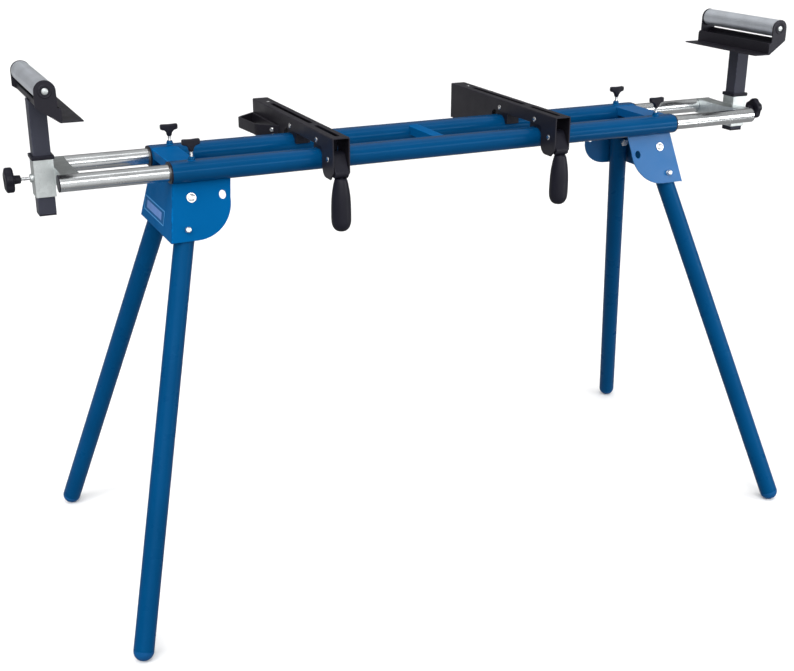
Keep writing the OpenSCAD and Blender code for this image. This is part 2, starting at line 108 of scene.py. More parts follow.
class Graph:
    """A small helper that adds nodes to a material, or to the world, and links them."""

    def __init__(self, owner, shader="BSDF_PRINCIPLED", place="Object"):
        owner.use_nodes = True
        self.tree = owner.node_tree
        self.shader = next(n for n in self.tree.nodes if n.type == shader)
        self.place = self.add("ShaderNodeTexCoord").outputs[place]

    def add(self, kind, **inputs):
        node = self.tree.nodes.new(kind)
        for name, value in inputs.items():
            self.feed(node.inputs[name.replace("_", " ")], value)
        return node

    def feed(self, socket, value):
        if isinstance(value, bpy.types.NodeSocket):
            self.tree.links.new(value, socket)
        else:
            socket.default_value = value

    def stretched(self, scale):
        mapping = self.add("ShaderNodeMapping", Vector=self.place)
        mapping.inputs["Scale"].default_value = scale
        return mapping.outputs["Vector"]

    def noise(self, scale, detail=3.0, rough=0.55, at=None):
        node = self.add("ShaderNodeTexNoise", Vector=at or self.place, Scale=scale, Detail=detail)
        node.inputs["Roughness"].default_value = rough
        return node.outputs["Fac"]

    def span(self, value, low, high, start=0.3, end=0.7):
        """value, from start to end, mapped to the span from low to high."""
        node = self.add("ShaderNodeMapRange", Value=value)
        for name, number in zip(("From Min", "From Max", "To Min", "To Max"), (start, end, low, high)):
            node.inputs[name].default_value = number
        return node.outputs["Result"]

    def ramp(self, value, stops):
        """value read through a ramp of (position, grey level) stops."""
        node = self.add("ShaderNodeValToRGB", Fac=value)
        elements = node.color_ramp.elements
        for element, (position, grey) in zip(elements, (stops[0], stops[-1])):
            element.position, element.color = position, rgb(grey, grey, grey)
        for position, grey in stops[1:-1]:
            elements.new(position).color = rgb(grey, grey, grey)
        return node.outputs["Color"]

    def math(self, operation, a, b):
        node = self.tree.nodes.new("ShaderNodeMath")
        node.operation = operation
        self.feed(node.inputs[0], a)
        self.feed(node.inputs[1], b)
        return node.outputs[0]

    def mix(self, factor, a, b):
        node = self.tree.nodes.new("ShaderNodeMix")
        node.data_type = "RGBA"
        self.feed(node.inputs["Factor"], factor)
        self.feed(node.inputs["A"], a)
        self.feed(node.inputs["B"], b)
        return node.outputs["Result"]

    def edge(self):
        """1 on the rounded edges that soften() marks, else 0."""
        node = self.add("ShaderNodeAttribute")
        node.attribute_name = "edge"
        return node.outputs["Fac"]

    def bump(self, height, strength, distance, normal=None):
        node = self.add("ShaderNodeBump", Height=height, Strength=strength, Distance=distance)
        if normal is not None:
            self.feed(node.inputs["Normal"], normal)
        return node.outputs["Normal"]


def rgb(r, g, b):
    """Opaque colour in linear light."""
    return (r, g, b, 1.0)


def scaled(colour, factor):
    """The colour, lighter or darker."""
    return rgb(*[min(1.0, c * factor) for c in colour[:3]])


def powder_coat(name, colour, rough, grain, peel, wear, ior, tint):
    """Baked powder coat: orange peel, faint shade drift, and edges where the coat is thin."""
    material = bpy.data.materials.new(name)
    g = Graph(material)
    drift = g.span(g.noise(5.0), 0.0, 1.0)
    speck = g.span(g.noise(grain * 0.35, 2.0), 0.0, 1.0, 0.62, 0.78)
    base = g.mix(drift, scaled(colour, 0.90), scaled(colour, 1.10))
    base = g.mix(g.math("MULTIPLY", speck, 0.15), base, scaled(colour, 1.5))
    worn = g.math("MULTIPLY", g.edge(), g.span(g.noise(120.0), 0.0, wear, 0.42, 0.62))
    g.feed(g.shader.inputs["Base Color"], g.mix(worn, base, scaled(colour, 3.0)))
    spread = g.span(g.noise(28.0), rough - 0.05, rough + 0.06)
    g.feed(g.shader.inputs["Roughness"], g.math("SUBTRACT", spread, g.math("MULTIPLY", worn, 0.08)))
    fine = g.bump(g.noise(grain, 2.0), peel, 0.0004)
    g.feed(g.shader.inputs["Normal"], g.bump(g.noise(grain * 0.22, 1.0), peel * 0.6, 0.0010, fine))
    g.feed(g.shader.inputs["IOR"], ior)
    g.feed(g.shader.inputs["Specular Tint"], tint)
    return material


def moulded(name, colour, rough, grain, gloss):
    """Moulded plastic with a fine spark-eroded grain."""
    material = bpy.data.materials.new(name)
    g = Graph(material)
    drift = g.span(g.noise(18.0), 0.0, 1.0)
    scuff = g.span(g.noise(60.0, 4.0, 0.7), 0.0, 0.25, 0.58, 0.75)
    base = g.mix(drift, scaled(colour, 0.85), scaled(colour, 1.15))
    rub = g.math("MAXIMUM", scuff, g.math("MULTIPLY", g.edge(), 0.35))
    g.feed(g.shader.inputs["Base Color"], g.mix(rub, base, scaled(colour, 1.9)))
    g.feed(g.shader.inputs["Roughness"], g.span(g.noise(45.0), rough - 0.06, rough + 0.08))
    g.feed(g.shader.inputs["Normal"], g.bump(g.noise(grain, 3.0, 0.65), 0.22, 0.0003))
    g.feed(g.shader.inputs["Specular IOR Level"], gloss)
    return material


def drawn_metal(name, colour, rough, stretch, line_depth, spangle=0.0, metal=1.0):
    """Plated or drawn metal: fine lines along one direction, faint clouds and small dull spots."""
    material = bpy.data.materials.new(name)
    g = Graph(material)
    lines = g.noise(1.0, 4.0, 0.6, g.stretched(stretch))
    cloud = g.span(g.noise(22.0, 3.0), 0.0, 1.0)
    spots = g.span(g.noise(260.0, 2.0), 0.0, 1.0, 0.66, 0.74)
    base = g.mix(cloud, scaled(colour, 0.90), scaled(colour, 1.06))
    base = g.mix(g.math("MULTIPLY", spots, 0.35), base, scaled(colour, 0.55))
    if spangle:
        cells = g.add("ShaderNodeTexVoronoi", Vector=g.place, Scale=140.0)
        tone = g.span(cells.outputs["Color"], 0.0, spangle, 0.2, 0.8)
        base = g.mix(tone, base, scaled(colour, 0.72))
    g.feed(g.shader.inputs["Base Color"], base)
    g.feed(g.shader.inputs["Metallic"], metal)
    wavy = g.math("ADD", g.span(lines, -0.06, 0.08), g.span(cloud, rough - 0.03, rough + 0.05, 0.0, 1.0))
    g.feed(g.shader.inputs["Roughness"], g.math("ADD", wavy, g.math("MULTIPLY", spots, 0.12)))
    g.feed(g.shader.inputs["Normal"], g.bump(lines, line_depth, 0.0002))
    return material


def make_materials():
    blue = rgb(0.0008, 0.088, 0.262)
    # painted shade: the bracket blue made darker, standing in for the shade on the legs, the beam tubes
    # and the bosses on them
    shaded_blue = scaled(blue, 0.57)
    sea, pale, grey = rgb(0.25, 0.60, 1.0), rgb(0.70, 0.82, 1.0), rgb(0.80, 0.82, 0.95)
    soot, slate = rgb(0.012, 0.011, 0.015), rgb(0.034, 0.036, 0.050)
    # colour, roughness, grain scale, depth of orange peel, wear of edges, refractive index, mirror tint
    coats = {
        "blue_paint": (blue, 0.36, 900.0, 0.05, 0.22, 1.18, sea),
        # the leg and tube paints carry that darker blue as painted shade, not a paint of their own
        "leg_paint_shaded": (shaded_blue, 0.30, 900.0, 0.05, 0.22, 1.20, sea),
        "tube_paint_shaded": (shaded_blue, 0.17, 900.0, 0.04, 0.22, 1.30, sea),
        "sheet_paint": (blue, 0.44, 900.0, 0.05, 0.22, 1.07, sea),
        "plate_paint": (blue, 0.36, 900.0, 0.05, 0.22, 1.46, pale),
        "black_paint": (soot, 0.40, 1300.0, 0.14, 0.40, 1.38, grey),
        "post_paint": (slate, 0.46, 1300.0, 0.14, 0.35, 1.34, grey),
    }
    # colour, roughness, grain scale, mirror level
    plastics = {
        "blue_plastic": (rgb(0.001, 0.070, 0.215), 0.46, 1500.0, 0.15),
        "black_plastic": (rgb(0.008, 0.008, 0.014), 0.42, 1700.0, 0.20),
        "badge_field": (rgb(0.003, 0.090, 0.260), 0.40, 900.0, 0.03),
        "badge_tint": (rgb(0.130, 0.250, 0.560), 0.40, 900.0, 0.03),
        "badge_line": (rgb(0.070, 0.290, 0.620), 0.40, 900.0, 0.03),
    }
    # colour, roughness, stretch of the lines, depth of the lines, then spangle and metal where they matter
    metals = {
        "bright_steel": (rgb(0.80, 0.81, 0.82), 0.24, (300, 300, 300), 0.10),
        "zinc_steel": (rgb(0.68, 0.70, 0.71), 0.19, (3, 500, 500), 0.04, 0.06),
        "zinc_sheet": (rgb(0.68, 0.72, 0.72), 0.40, (260, 260, 30), 0.10, 0.30),
        "roller_metal": (rgb(0.76, 0.80, 0.86), 0.40, (700, 5, 700), 0.07, 0.0, 0.82),
    }
    made = {name: powder_coat(name, *row) for name, row in coats.items()}
    made.update({name: moulded(name, *row) for name, row in plastics.items()})
    made.update({name: drawn_metal(name, *row) for name, row in metals.items()})
    return made


LOOKS = make_materials()

# ---------- mesh helpers ----------

WELD = 0.01 * MM
SMOOTH_ANGLE = math.radians(32)


def finish_piece(name, bm, look, body, nodes=()):
    """Turns a bmesh into a named piece that rides on a body and stands for CAD nodes."""
    bmesh.ops.recalc_face_normals(bm, faces=bm.faces)
    mesh = bpy.data.meshes.new(name)
    bm.to_mesh(mesh)
    bm.free()
    for face in mesh.polygons:
        face.use_smooth = True
    mesh.set_sharp_from_angle(angle=SMOOTH_ANGLE)
    mesh.materials.append(LOOKS[look])
    piece = bpy.data.objects.new(name, mesh)
    bpy.context.scene.collection.objects.link(piece)
    normals = piece.modifiers.new("flat_faces", "WEIGHTED_NORMAL")
    normals.keep_sharp = True
    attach(piece, body)
    if nodes:
        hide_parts(*nodes)


def edge_layer(bm):
    """Face layer in which rounded edges are marked with 1; the materials read it where wear belongs on an
    edge.
    """
    return bm.faces.layers.float.get("edge") or bm.faces.layers.float.new("edge")


def soften(bm, width, angle=35, segments=2, chosen=None):
    """Rounds the sharp edges, or the chosen ones, and marks the new faces as edge faces."""
    layer = edge_layer(bm)
    limit = math.radians(angle)
    edges = [e for e in bm.edges if len(e.link_faces) == 2 and e.calc_face_angle(0) > limit]
    if chosen:
        edges = [e for e in edges if chosen(e)]
    if not edges:
        return
    made = bmesh.ops.bevel(bm, geom=edges, offset=width, offset_type="OFFSET", segments=segments,
                           profile=0.5, affect="EDGES", clamp_overlap=False)
    for face in made["faces"]:
        if face.is_valid:
            face[layer] = 1.0


def cad_mesh(node):
    """An editable copy of a CAD node, welded, with its flat faces whole."""
    bm = bmesh.new()
    bm.from_mesh(frame["nodes"][node].data)
    bmesh.ops.remove_doubles(bm, verts=bm.verts, dist=WELD)
    bmesh.ops.dissolve_limit(bm, angle_limit=math.radians(0.4), verts=bm.verts, edges=bm.edges)
    return bm


def refine(node, body, look, width, folds=None, fold_width=0.0, angle=35):
    """A CAD node's own shape with rounded edges, and with wider rounds where its sheet is folded."""
    bm = cad_mesh(node)
    if folds:
        soften(bm, fold_width, 35, 4, folds)
    soften(bm, width, angle, 2)
    finish_piece(f"{node}.skin", bm, look, body, [node])


def lathe(bm, profile, place, segments=40, squash=None):
    """Surface of revolution about the place's Z axis. profile is (radius, height) points in metres.
    squash, where given, is the share of the radius at each angle."""
    rings = []
    for radius, height in profile:
        if radius < 1e-7:
            rings.append([bm.verts.new(place @ Vector((0, 0, height)))])
            continue
        ring = []
        for i in range(segments):
            a = TAU * i / segments
            r = radius * (squash(a) if squash else 1.0)
            ring.append(bm.verts.new(place @ Vector((r * math.cos(a), r * math.sin(a), height))))
        rings.append(ring)
    for low, high in zip(rings, rings[1:]):
        join_rings(bm, low, high)


def join_rings(bm, low, high):
    """Faces between two rings of points; a ring of one point is a tip."""
    count = max(len(low), len(high))
    if len(low) == len(high) == 1:
        return
    for i in range(count):
        j = (i + 1) % count
        if len(low) == 1:
            bm.faces.new((low[0], high[i], high[j]))
        elif len(high) == 1:
            bm.faces.new((low[i], low[j], high[0]))
        else:
            bm.faces.new((low[i], low[j], high[j], high[i]))


def loft(bm, sections, place):
    """Closed skin through sections, each a list of the same number of points."""
    rings = [[bm.verts.new(place @ Vector(p)) for p in section] for section in sections]
    for low, high in zip(rings, rings[1:]):
        join_rings(bm, low, high)
    bm.faces.new(rings[0])
    bm.faces.new(rings[-1])


def rounded(half_a, half_b, corner, steps=4):
    """Outline of a rounded rectangle as (a, b) points, counter-clockwise."""
    points = []
    for turn, (sa, sb) in enumerate(((1, 1), (-1, 1), (-1, -1), (1, -1))):
        for i in range(steps + 1):
            a = TAU / 4 * (turn + i / steps)
            ca, cb = sa * (half_a - corner), sb * (half_b - corner)
            points.append((ca + corner * math.cos(a), cb + corner * math.sin(a)))
    return points


def dome(radius, height, rim=0.25, steps=6):
    """Profile of a domed head from its rim on a face, at height 0, to its top."""
    base = rim * height
    points = [(radius, 0.0), (radius, base)]
    for i in range(1, steps + 1):
        a = TAU / 4 * i / steps
        points.append((radius * math.cos(a), base + (height - base) * math.sin(a)))
    points[-1] = (0.0, height)
    return points


def thread(bm, place, z0, z1, segments=28, per_turn=8):
    """Threaded rod along the place's Z axis, with closed ends."""
    steps = max(2, int((z1 - z0) / THREAD_PITCH * per_turn))
    rings = []
    for k in range(steps + 1):
        z = z0 + (z1 - z0) * k / steps
        ring = []
        for i in range(segments):
            a = TAU * i / segments
            phase = (z / THREAD_PITCH - i / segments) % 1.0
            r = THREAD_R - THREAD_DEPTH * abs(2 * phase - 1)
            ring.append(bm.verts.new(place @ Vector((r * math.cos(a), r * math.sin(a), z))))
        rings.append(ring)
    for low, high in zip(rings, rings[1:]):
        join_rings(bm, low, high)
    bm.faces.new(rings[0])
    bm.faces.new(rings[-1])


def bead(bm, points, radius, closed=False, ripple=0.16, pitch=3.4 * MM, sides=8):
    """A rippled weld bead along a line of points."""
    count = len(points)
    rings = []
    travelled = 0.0
    side = None
    for k, point in enumerate(points):
        before = points[k - 1] if k or closed else point
        after = points[(k + 1) % count] if k < count - 1 or closed else point
        heading = (after - before).normalized()
        travelled += (point - before).length if k else 0.0
        side = heading.orthogonal() if side is None else side - heading * side.dot(heading)
        side.normalize()
        up = heading.cross(side)
        r = radius * (1 + ripple * math.sin(TAU * travelled / pitch))
        if not closed and k in (0, count - 1):
            r *= 0.45
        rings.append([bm.verts.new(point + (side * math.cos(a) + up * math.sin(a)) * r)
                      for a in (TAU * i / sides for i in range(sides))])
    pairs = list(zip(rings, rings[1:]))
    if closed:
        pairs.append((rings[-1], rings[0]))
    for low, high in pairs:
        join_rings(bm, low, high)
    if not closed:
        bm.faces.new(rings[0])
        bm.faces.new(rings[-1])


def line(a, b, step=0.8 * MM):
    """Evenly spaced points from a to b."""
    count = max(2, int((b - a).length / step))
    return [a.lerp(b, i / count) for i in range(count + 1)]


def circle(centre, radius, count=48):
    """Points on a level circle."""
    angles = [TAU * i / count for i in range(count)]
    return [centre + Vector((radius * math.cos(a), radius * math.sin(a), 0)) for a in angles]


# ---------- beam and brackets ----------


def build_beam():
    for end in ENDS:
        refine(f"beam_tube_{end}", "beam", "tube_paint_shaded", 0.5 * MM, angle=50)
    refine("tube_guides", "beam", "black_plastic", 0.8 * MM, angle=50)
    build_bosses()
    for part in PLATES:
        build_cross_plate(part)


def build_bosses():
    """Welded nut bosses that the wing screws go through."""
    profile = [(3.1, 7.0), (3.1, 0.0), (6.5, 0.0), (6.4, 2.4), (5.7, 4.9), (5.0, 6.4), (4.3, 7.0),
               (3.1, 7.0)]
    bm = bmesh.new()
    for side in SIDES.values():
        for end in ENDS.values():
            place = Matrix.Translation((side * BOSS_X, end * TUBE_Y, TUBE_TOP))
            lathe(bm, [(r * MM, h * MM) for r, h in profile], place, 32)
    bmesh.ops.remove_doubles(bm, verts=bm.verts, dist=WELD)
    finish_piece("clamp_bosses.skin", bm, "tube_paint_shaded", "beam", ["clamp_bosses"])


def build_cross_plate(part):
    node = f"cross_plate_{part}"
    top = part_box(node)[1].z

    def fold(edge):
        a, b = (v.co for v in edge.verts)
        return max(abs(a.z - top), abs(b.z - top), abs(a.x - b.x)) < HAIR

    look = "plate_paint" if part == "right" else "sheet_paint"
    refine(node, "beam", look, 0.4 * MM, fold, 2.2 * MM)


def build_brackets():
    def fold(edge):
        a, b = (v.co for v in edge.verts)
        outer = min(abs(a.x), abs(b.x)) > BRACKET_FOLD_X
        steep = abs(a.z - b.z) > 40 * MM
        return outer and steep

    for side in SIDES:
        look = "plate_paint" if side == "right" else "sheet_paint"
        refine(f"leg_bracket_{side}", "beam", look, 0.5 * MM, fold, 2.0 * MM)


def build_pivot_bolts():
    washer_r, washer_high = 9 * MM, 1.5 * MM
    washer_edge, washer_rim = 0.4 * MM, 1.1 * MM
    nut_high, nut_r = 8 * MM, 9 * MM
    head_r, head_high = 7 * MM, 2.7 * MM
    shank_r, shank_in = 5 * MM, LEG_R + 1 * MM
    seat = PLATE_OUT + washer_high
    angles = [TAU * i / 6 for i in range(6)]
    hexagon = [Vector((nut_r * math.cos(a), nut_r * math.sin(a), 0)) for a in angles]
    nut_levels = ((0.88, 0), (1.0, 1.2 * MM), (1.0, 6.8 * MM), (0.88, nut_high))
    bm = bmesh.new()
    for end, side in CORNERS:
        out = outward(end, side, splay=0.0)
        lathe(bm, [(0, PLATE_OUT), (washer_r - 0.6 * MM, PLATE_OUT), (washer_r, PLATE_OUT + washer_edge),
                   (washer_r, PLATE_OUT + washer_rim), (washer_r - 0.5 * MM, seat), (0, seat)], out)
        lathe(bm, [(0, 0)] + dome(head_r, head_high), out @ Matrix.Translation((0, 0, seat)))
        lathe(bm, [(0, -shank_in), (shank_r, -shank_in), (shank_r, PLATE_OUT), (0, PLATE_OUT)], out, 24)
        nut = out @ Matrix.Translation((0, 0, -shank_in - nut_high))
        loft(bm, [[point * share + Vector((0, 0, level)) for point in hexagon]
                  for share, level in nut_levels], nut)
    finish_piece("leg_pivot_bolts.skin", bm, "bright_steel", "beam", ["leg_pivot_bolts"])


def build_beam_welds():
    bm = bmesh.new()
    weld_bosses(bm)
    weld_cross_plates(bm)
    weld_brackets(bm)
    finish_piece("beam_welds", bm, "blue_paint", "beam")


def weld_bosses(bm):
    for side in SIDES.values():
        for end in ENDS.values():
            centre = Vector((side * BOSS_X, end * TUBE_Y, TUBE_TOP))
            bead(bm, circle(centre, 6.6 * MM), 0.9 * MM, closed=True)


def weld_cross_plates(bm):
    """Seams along the plates' sides, where their top meets the round of the tubes."""
    rise = TUBE_R - 2.6 * MM
    seam_y = TUBE_Y - TUBE_FLAT - math.sqrt(TUBE_R ** 2 - rise ** 2)
    end_gap = 3 * MM
    for part in PLATES:
        low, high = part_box(f"cross_plate_{part}")
        for end in ENDS.values():
            start = Vector((low.x + end_gap, end * seam_y, BEAM_Z + rise))
            stop = Vector((high.x - end_gap, end * seam_y, BEAM_Z + rise))
            bead(bm, line(start, stop), 1.1 * MM)


def weld_brackets(bm):
    """Three short seams under each tube, where a bracket's side plate comes up to it."""
    seams = ((-26, -4), (12, 34), (50, 73))  # start and end, inwards from the pivot, in mm
    under_tube = BEAM_Z - TUBE_R - 0.05 * MM
    for end, side in CORNERS:
        place = leg_place(end, side, 0.0)
        top = (under_tube - place.translation.z - PLATE_OUT * math.sin(LEAN)) / math.cos(LEAN) - 0.3 * MM
        y = ENDS[end] * (PLATE_OUT + 0.2 * MM)
        for seam in seams:
            start, stop = (place @ Vector((-SIDES[side] * u * MM, y, top)) for u in seam)
            bead(bm, line(start, stop), 1.2 * MM)


def build_badge():
    """A blank badge with a thin border and a plain stripe, on the sloping end face of the left bracket."""
    low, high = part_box("leg_bracket_left")
    foot, head = Vector((low.x, 0, low.z)), Vector((-END_PLATE_X, 0, high.z))
    up = (head - foot).normalized()
    normal = Vector((-up.z, 0, up.x))
    centre = foot + up * BADGE_UP + Vector((0, BADGE_Y, 0))
    across = Vector((0, -1, 0))
    place = Matrix.Translation(centre) @ Matrix((across, up, normal)).transposed().to_4x4()

    def sheet(inset, bottom, top, shorter=0.0):
        corner = max(0.8 * MM, 2.5 * MM - inset * 0.5)
        outline = rounded(BADGE_HALF_LONG - inset - shorter, BADGE_HALF_HIGH - inset, corner, 5)
        return [[(a, b, level) for a, b in outline] for level in (bottom, top)]

    bm = bmesh.new()
    loft(bm, sheet(0, 0.02 * MM, 0.45 * MM), place)
    finish_piece("badge_plate", bm, "badge_field", "beam")
    bm = bmesh.new()
    outer, inner = (sheet(inset, 0.42 * MM, 0.62 * MM) for inset in (0.6 * MM, 2.6 * MM))
    sections = (outer[0], outer[1], inner[1], inner[0])
    rings = [[bm.verts.new(place @ Vector(p)) for p in section] for section in sections]
    for one, two in zip(rings, rings[1:] + rings[:1]):
        join_rings(bm, one, two)
    finish_piece("badge_border", bm, "badge_line", "beam")
    bm = bmesh.new()
    loft(bm, sheet(7.5 * MM, 0.40 * MM, 0.60 * MM, shorter=12 * MM), place)
    finish_piece("badge_stripe", bm, "badge_tint", "beam")


# ---------- legs ----------


def build_legs():
    steps = 14
    quarter = [TAU / 4 * i / steps for i in range(1, steps)]
    step_in = LEG_R - 1.6 * MM
    foot = [(0.0, -LEG_R)] + [(LEG_R * math.sin(a), -LEG_R * math.cos(a)) for a in quarter]
    foot += [(LEG_R, -0.9 * MM), (LEG_R - 0.7 * MM, -0.2 * MM), (step_in, 0.0), (step_in, FOOT_IN),
             (0, FOOT_IN)]
    for end, side in CORNERS:
        name = f"{end}_{side}"
        refine(f"leg_{name}", f"leg_{name}", "leg_paint_shaded", 0.5 * MM, angle=50)
        bm = bmesh.new()
        lathe(bm, foot, leg_place(end, side) @ Matrix.Translation((0, 0, -LEG_LEN)), 48)
        finish_piece(f"foot_{name}.skin", bm, "blue_plastic", f"leg_{name}", [f"foot_{name}"])


def build_lock_pins():
    pin_r, neck_r = 5.3 * MM, 4.6 * MM
    nose, face = LEG_R + 0.5 * MM, PLATE_OUT
    profile = [(0, nose), (pin_r - 0.9 * MM, nose), (pin_r, nose + 0.9 * MM), (pin_r, face + 1.0 * MM),
               (neck_r, face + 1.7 * MM), (neck_r, face + 2.6 * MM), (pin_r, face + 3.3 * MM),
               (pin_r, face + 6.2 * MM), (neck_r, face + 7.3 * MM), (3.4 * MM, face + 7.7 * MM),
               (0, face + 7.7 * MM)]
    for end, side in CORNERS:
        node = f"lock_pin_{end}_{side}"
        bm = bmesh.new()
        lathe(bm, profile, outward(end, side, LOCK_DOWN), 32)
        finish_piece(f"{node}.skin", bm, "bright_steel", node, [node])


# ---------- clamp screws and knobs ----------


def wing_sections():
    """Sections along X through the two-winged head of a clamp screw, from its underside's level.
    Each row of wing is x, half the thickness, and the lowest and highest point there, in mm."""
    sections = []
    wing = ((16.5, 2.4, 3.2, 8.8), (15.9, 3.8, 1.4, 10.3), (13.6, 4.8, 0.3, 11.0), (9.4, 4.6, -0.6, 10.8),
            (6.4, 4.8, -3.2, 10.6), (3.0, 5.2, -7.8, 10.3))
    spine = [(-x, half_y, low, high) for x, half_y, low, high in wing] + [(0.0, 5.4, -10.8, 10.2)]
    for x, half_y, low, high in spine + list(reversed(wing)):
        middle, half_z = (low + high) / 2, (high - low) / 2
        outline = rounded(half_y, half_z, min(2.6, half_y * 0.8), 4)
        sections.append([(x * MM, a * MM, (middle + b) * MM) for a, b in outline])
    return sections


def build_wing_screws():
    wings_high = 11 * MM
    neck = [(0, -11), (4.0, -11), (4.6, -10.2), (5.6, -5), (6.0, 0), (0, 2)]
    for end, side in CORNERS:
        node = f"wing_screw_{end}_{side}"
        low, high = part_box(node)
        centre = Vector(((low.x + high.x) / 2, (low.y + high.y) / 2, 0))
        head_z = high.z - wings_high
        head = Matrix.Translation(centre + Vector((0, 0, head_z)))
        bm = bmesh.new()
        loft(bm, wing_sections(), head)
        lathe(bm, [(r * MM, h * MM) for r, h in neck], head, 32)
        finish_piece(f"{node}.head", bm, "black_plastic", node, [node])
        bm = bmesh.new()
        thread(bm, Matrix.Translation(centre), low.z, head_z - 10 * MM)
        finish_piece(f"{node}.stud", bm, "bright_steel", node)


def star(angle):
    """Radius of a five-lobed hand knob, as a share of its largest radius, with a lobe straight up."""
    valley = 0.5 + 0.5 * math.cos(5 * (angle + TAU / 4))
    return 1.0 - 0.15 * valley ** 1.5


def build_post_knobs():
    radius = 22.5 * MM
    rim = [(0, 1.2), (0.30, 1.2), (0.36, 0.3), (0.80, 0.0), (0.90, 0.6), (0.97, 1.9), (1.0, 3.8),
           (1.0, 11.2), (0.97, 13.1), (0.90, 14.4), (0.80, 15.0), (0.37, 15.0), (0, 15.0)]
    hub = [(0, 14), (8.0, 14), (7.8, 18), (7.4, 25.6), (6.4, 27), (0, 27)]
    for side, sx in SIDES.items():
        node = f"post_knob_{side}"
        low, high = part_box(node)
        outer = high.x if sx > 0 else low.x
        centre_z = Vector(joints[f"post_knob_{side}_turn"]["pos_m"]).z
        place = along((outer, 0, centre_z), (-sx, 0, 0))
        bm = bmesh.new()
        lathe(bm, [(r * radius, h * MM) for r, h in rim], place, 120, star)
        lathe(bm, [(r * MM, h * MM) for r, h in hub], place, 40)
        finish_piece(f"{node}.head", bm, "black_plastic", node, [node])
        bm = bmesh.new()
        thread(bm, place, 26 * MM, high.x - low.x)
        finish_piece(f"{node}.stud", bm, "bright_steel", node)


# ---------- extensions, posts and rollers ----------


def build_extensions():
    for side, sx in SIDES.items():
        body = f"extension_{side}"
        refine(f"rods_{side}", body, "zinc_steel", 0.4 * MM, angle=50)
        refine(f"rod_caps_{side}", body, "black_plastic", 0.7 * MM, angle=50)
        refine(f"crossbar_{side}", body, "zinc_sheet", 1.2 * MM, angle=50)
        refine(f"sleeve_{side}", body, "zinc_sheet", 0.9 * MM, angle=50)
        refine(f"collar_{side}", body, "black_plastic", 1.0 * MM)
        weld_sleeve(side, sx, body)


def weld_sleeve(side, sx, body):
    """Seams round the square where the sleeve stands against its crossbar."""
    low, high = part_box(f"crossbar_{side}")
    seam = high.x if sx > 0 else low.x
    seam_r, half_long, sleeve_half, end_gap = 1.3 * MM, 15 * MM, 17.5 * MM, 1 * MM
    bm = bmesh.new()
    for z in (low.z, high.z):
        bead(bm, line(Vector((seam, -half_long, z)), Vector((seam, half_long, z))), seam_r)
    for y in (-sleeve_half, sleeve_half):
        bead(bm, line(Vector((seam, y, low.z + end_gap)), Vector((seam, y, high.z - end_gap))), seam_r)
    finish_piece(f"sleeve_welds_{side}", bm, "zinc_sheet", body)


def build_posts():
    for side in SIDES:
        body = f"post_{side}"
        refine(f"post_{side}", body, "post_paint", 1.2 * MM, angle=50)
        refine(f"post_cap_{side}", body, "black_plastic", 0.9 * MM)
        refine(f"roller_bracket_{side}", body, "black_paint", 0.5 * MM)
        build_axle(side, body)


def build_axle(side, body):
    """Roller axle with domed ends, and the rings pressed out of the bracket's ears round it."""
    node = f"axle_{side}"
    low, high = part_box(node)
    middle = (low + high) / 2
    half = (high.y - low.y) / 2
    head_high, head_r, axle_r = 2.5 * MM, 5.6 * MM, 5 * MM
    reach = half - head_high + 0.1 * MM
    ends = [along(middle + Vector((0, sy * (half - head_high), 0)), (0, sy, 0)) for sy in (-1, 1)]
    bm = bmesh.new()
    for place in ends:
        lathe(bm, [(0, 0)] + dome(head_r, head_high, 0.35), place, 32)
    lathe(bm, [(0, -reach), (axle_r, -reach), (axle_r, reach), (0, reach)], along(middle, (0, 1, 0)), 32)
    finish_piece(f"{node}.skin", bm, "zinc_sheet", body, [node])
    ear_ring = [(8.2, -0.3), (8.6, 0.8), (9.3, 1.2), (10.3, 1.2), (11.2, 0.7), (11.8, -0.3)]
    bm = bmesh.new()
    for place in ends:
        lathe(bm, [(r * MM, h * MM) for r, h in ear_ring], place, 48)
    finish_piece(f"ear_rings_{side}", bm, "black_paint", body)


def build_rollers():
    for side in SIDES:
        node = f"roller_{side}"
        low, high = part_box(node)
        middle = (low + high) / 2
        half, radius = (high.y - low.y) / 2, (high.z - low.z) / 2
        bore = radius - 1.8 * MM
        build_roller_shell(node, middle, half, radius, bore)
        build_roller_plugs(node, middle, half, bore)


def build_roller_shell(node, middle, half, radius, bore):
    """Steel tube with rounded ends. Its profile goes round one end and comes back along the other."""
    rim = ((0.9 * MM, 0.0), (0.25 * MM, 0.3 * MM), (0.0, 1.0 * MM))
    plug_in = 12 * MM
    near = [(radius - inset, -half + down) for inset, down in rim]
    far = [(radius - inset, half - down) for inset, down in reversed(rim)]
    inside = [(bore, half), (bore, half - plug_in), (bore, -half + plug_in), (bore, -half)]
    bm = bmesh.new()
    lathe(bm, [(bore, -half)] + near + far + inside, along(middle, (0, 1, 0)), 64)
    bmesh.ops.remove_doubles(bm, verts=bm.verts, dist=WELD)
    finish_piece(f"{node}.skin", bm, "roller_metal", node, [node])


def build_roller_plugs(node, middle, half, bore):
    """End plugs with a dished face and a raised collar round the axle."""
    hole, depth, fit = 5.1 * MM, 11.5 * MM, bore - 0.02 * MM
    profile = [(hole, -depth), (fit, -depth), (fit, -1.4 * MM), (bore - 1 * MM, -0.8 * MM),
               (bore - 2.4 * MM, -1.6 * MM), (8.4 * MM, -1.6 * MM), (8.0 * MM, -0.2 * MM), (5.6 * MM, 0.0),
               (hole, -0.5 * MM), (hole, -depth)]
    bm = bmesh.new()
    for sy in (-1, 1):
        lathe(bm, profile, along(middle + Vector((0, sy * half, 0)), (0, sy, 0)), 48)
    bmesh.ops.remove_doubles(bm, verts=bm.verts, dist=WELD)
    finish_piece(f"{node}.plugs", bm, "black_plastic", node)


# ---------- machine holders ----------


def build_holders():
    for side in SIDES:
        body = f"holder_{side}"
        build_channel(body)
        refine(f"holder_pads_{side}", body, "black_plastic", 1.0 * MM, angle=50)
        build_rivets(side, body)
        refine(f"lever_{side}", f"lever_{side}", "black_plastic", 1.4 * MM, angle=50)
        build_grip(side)
    build_loop()


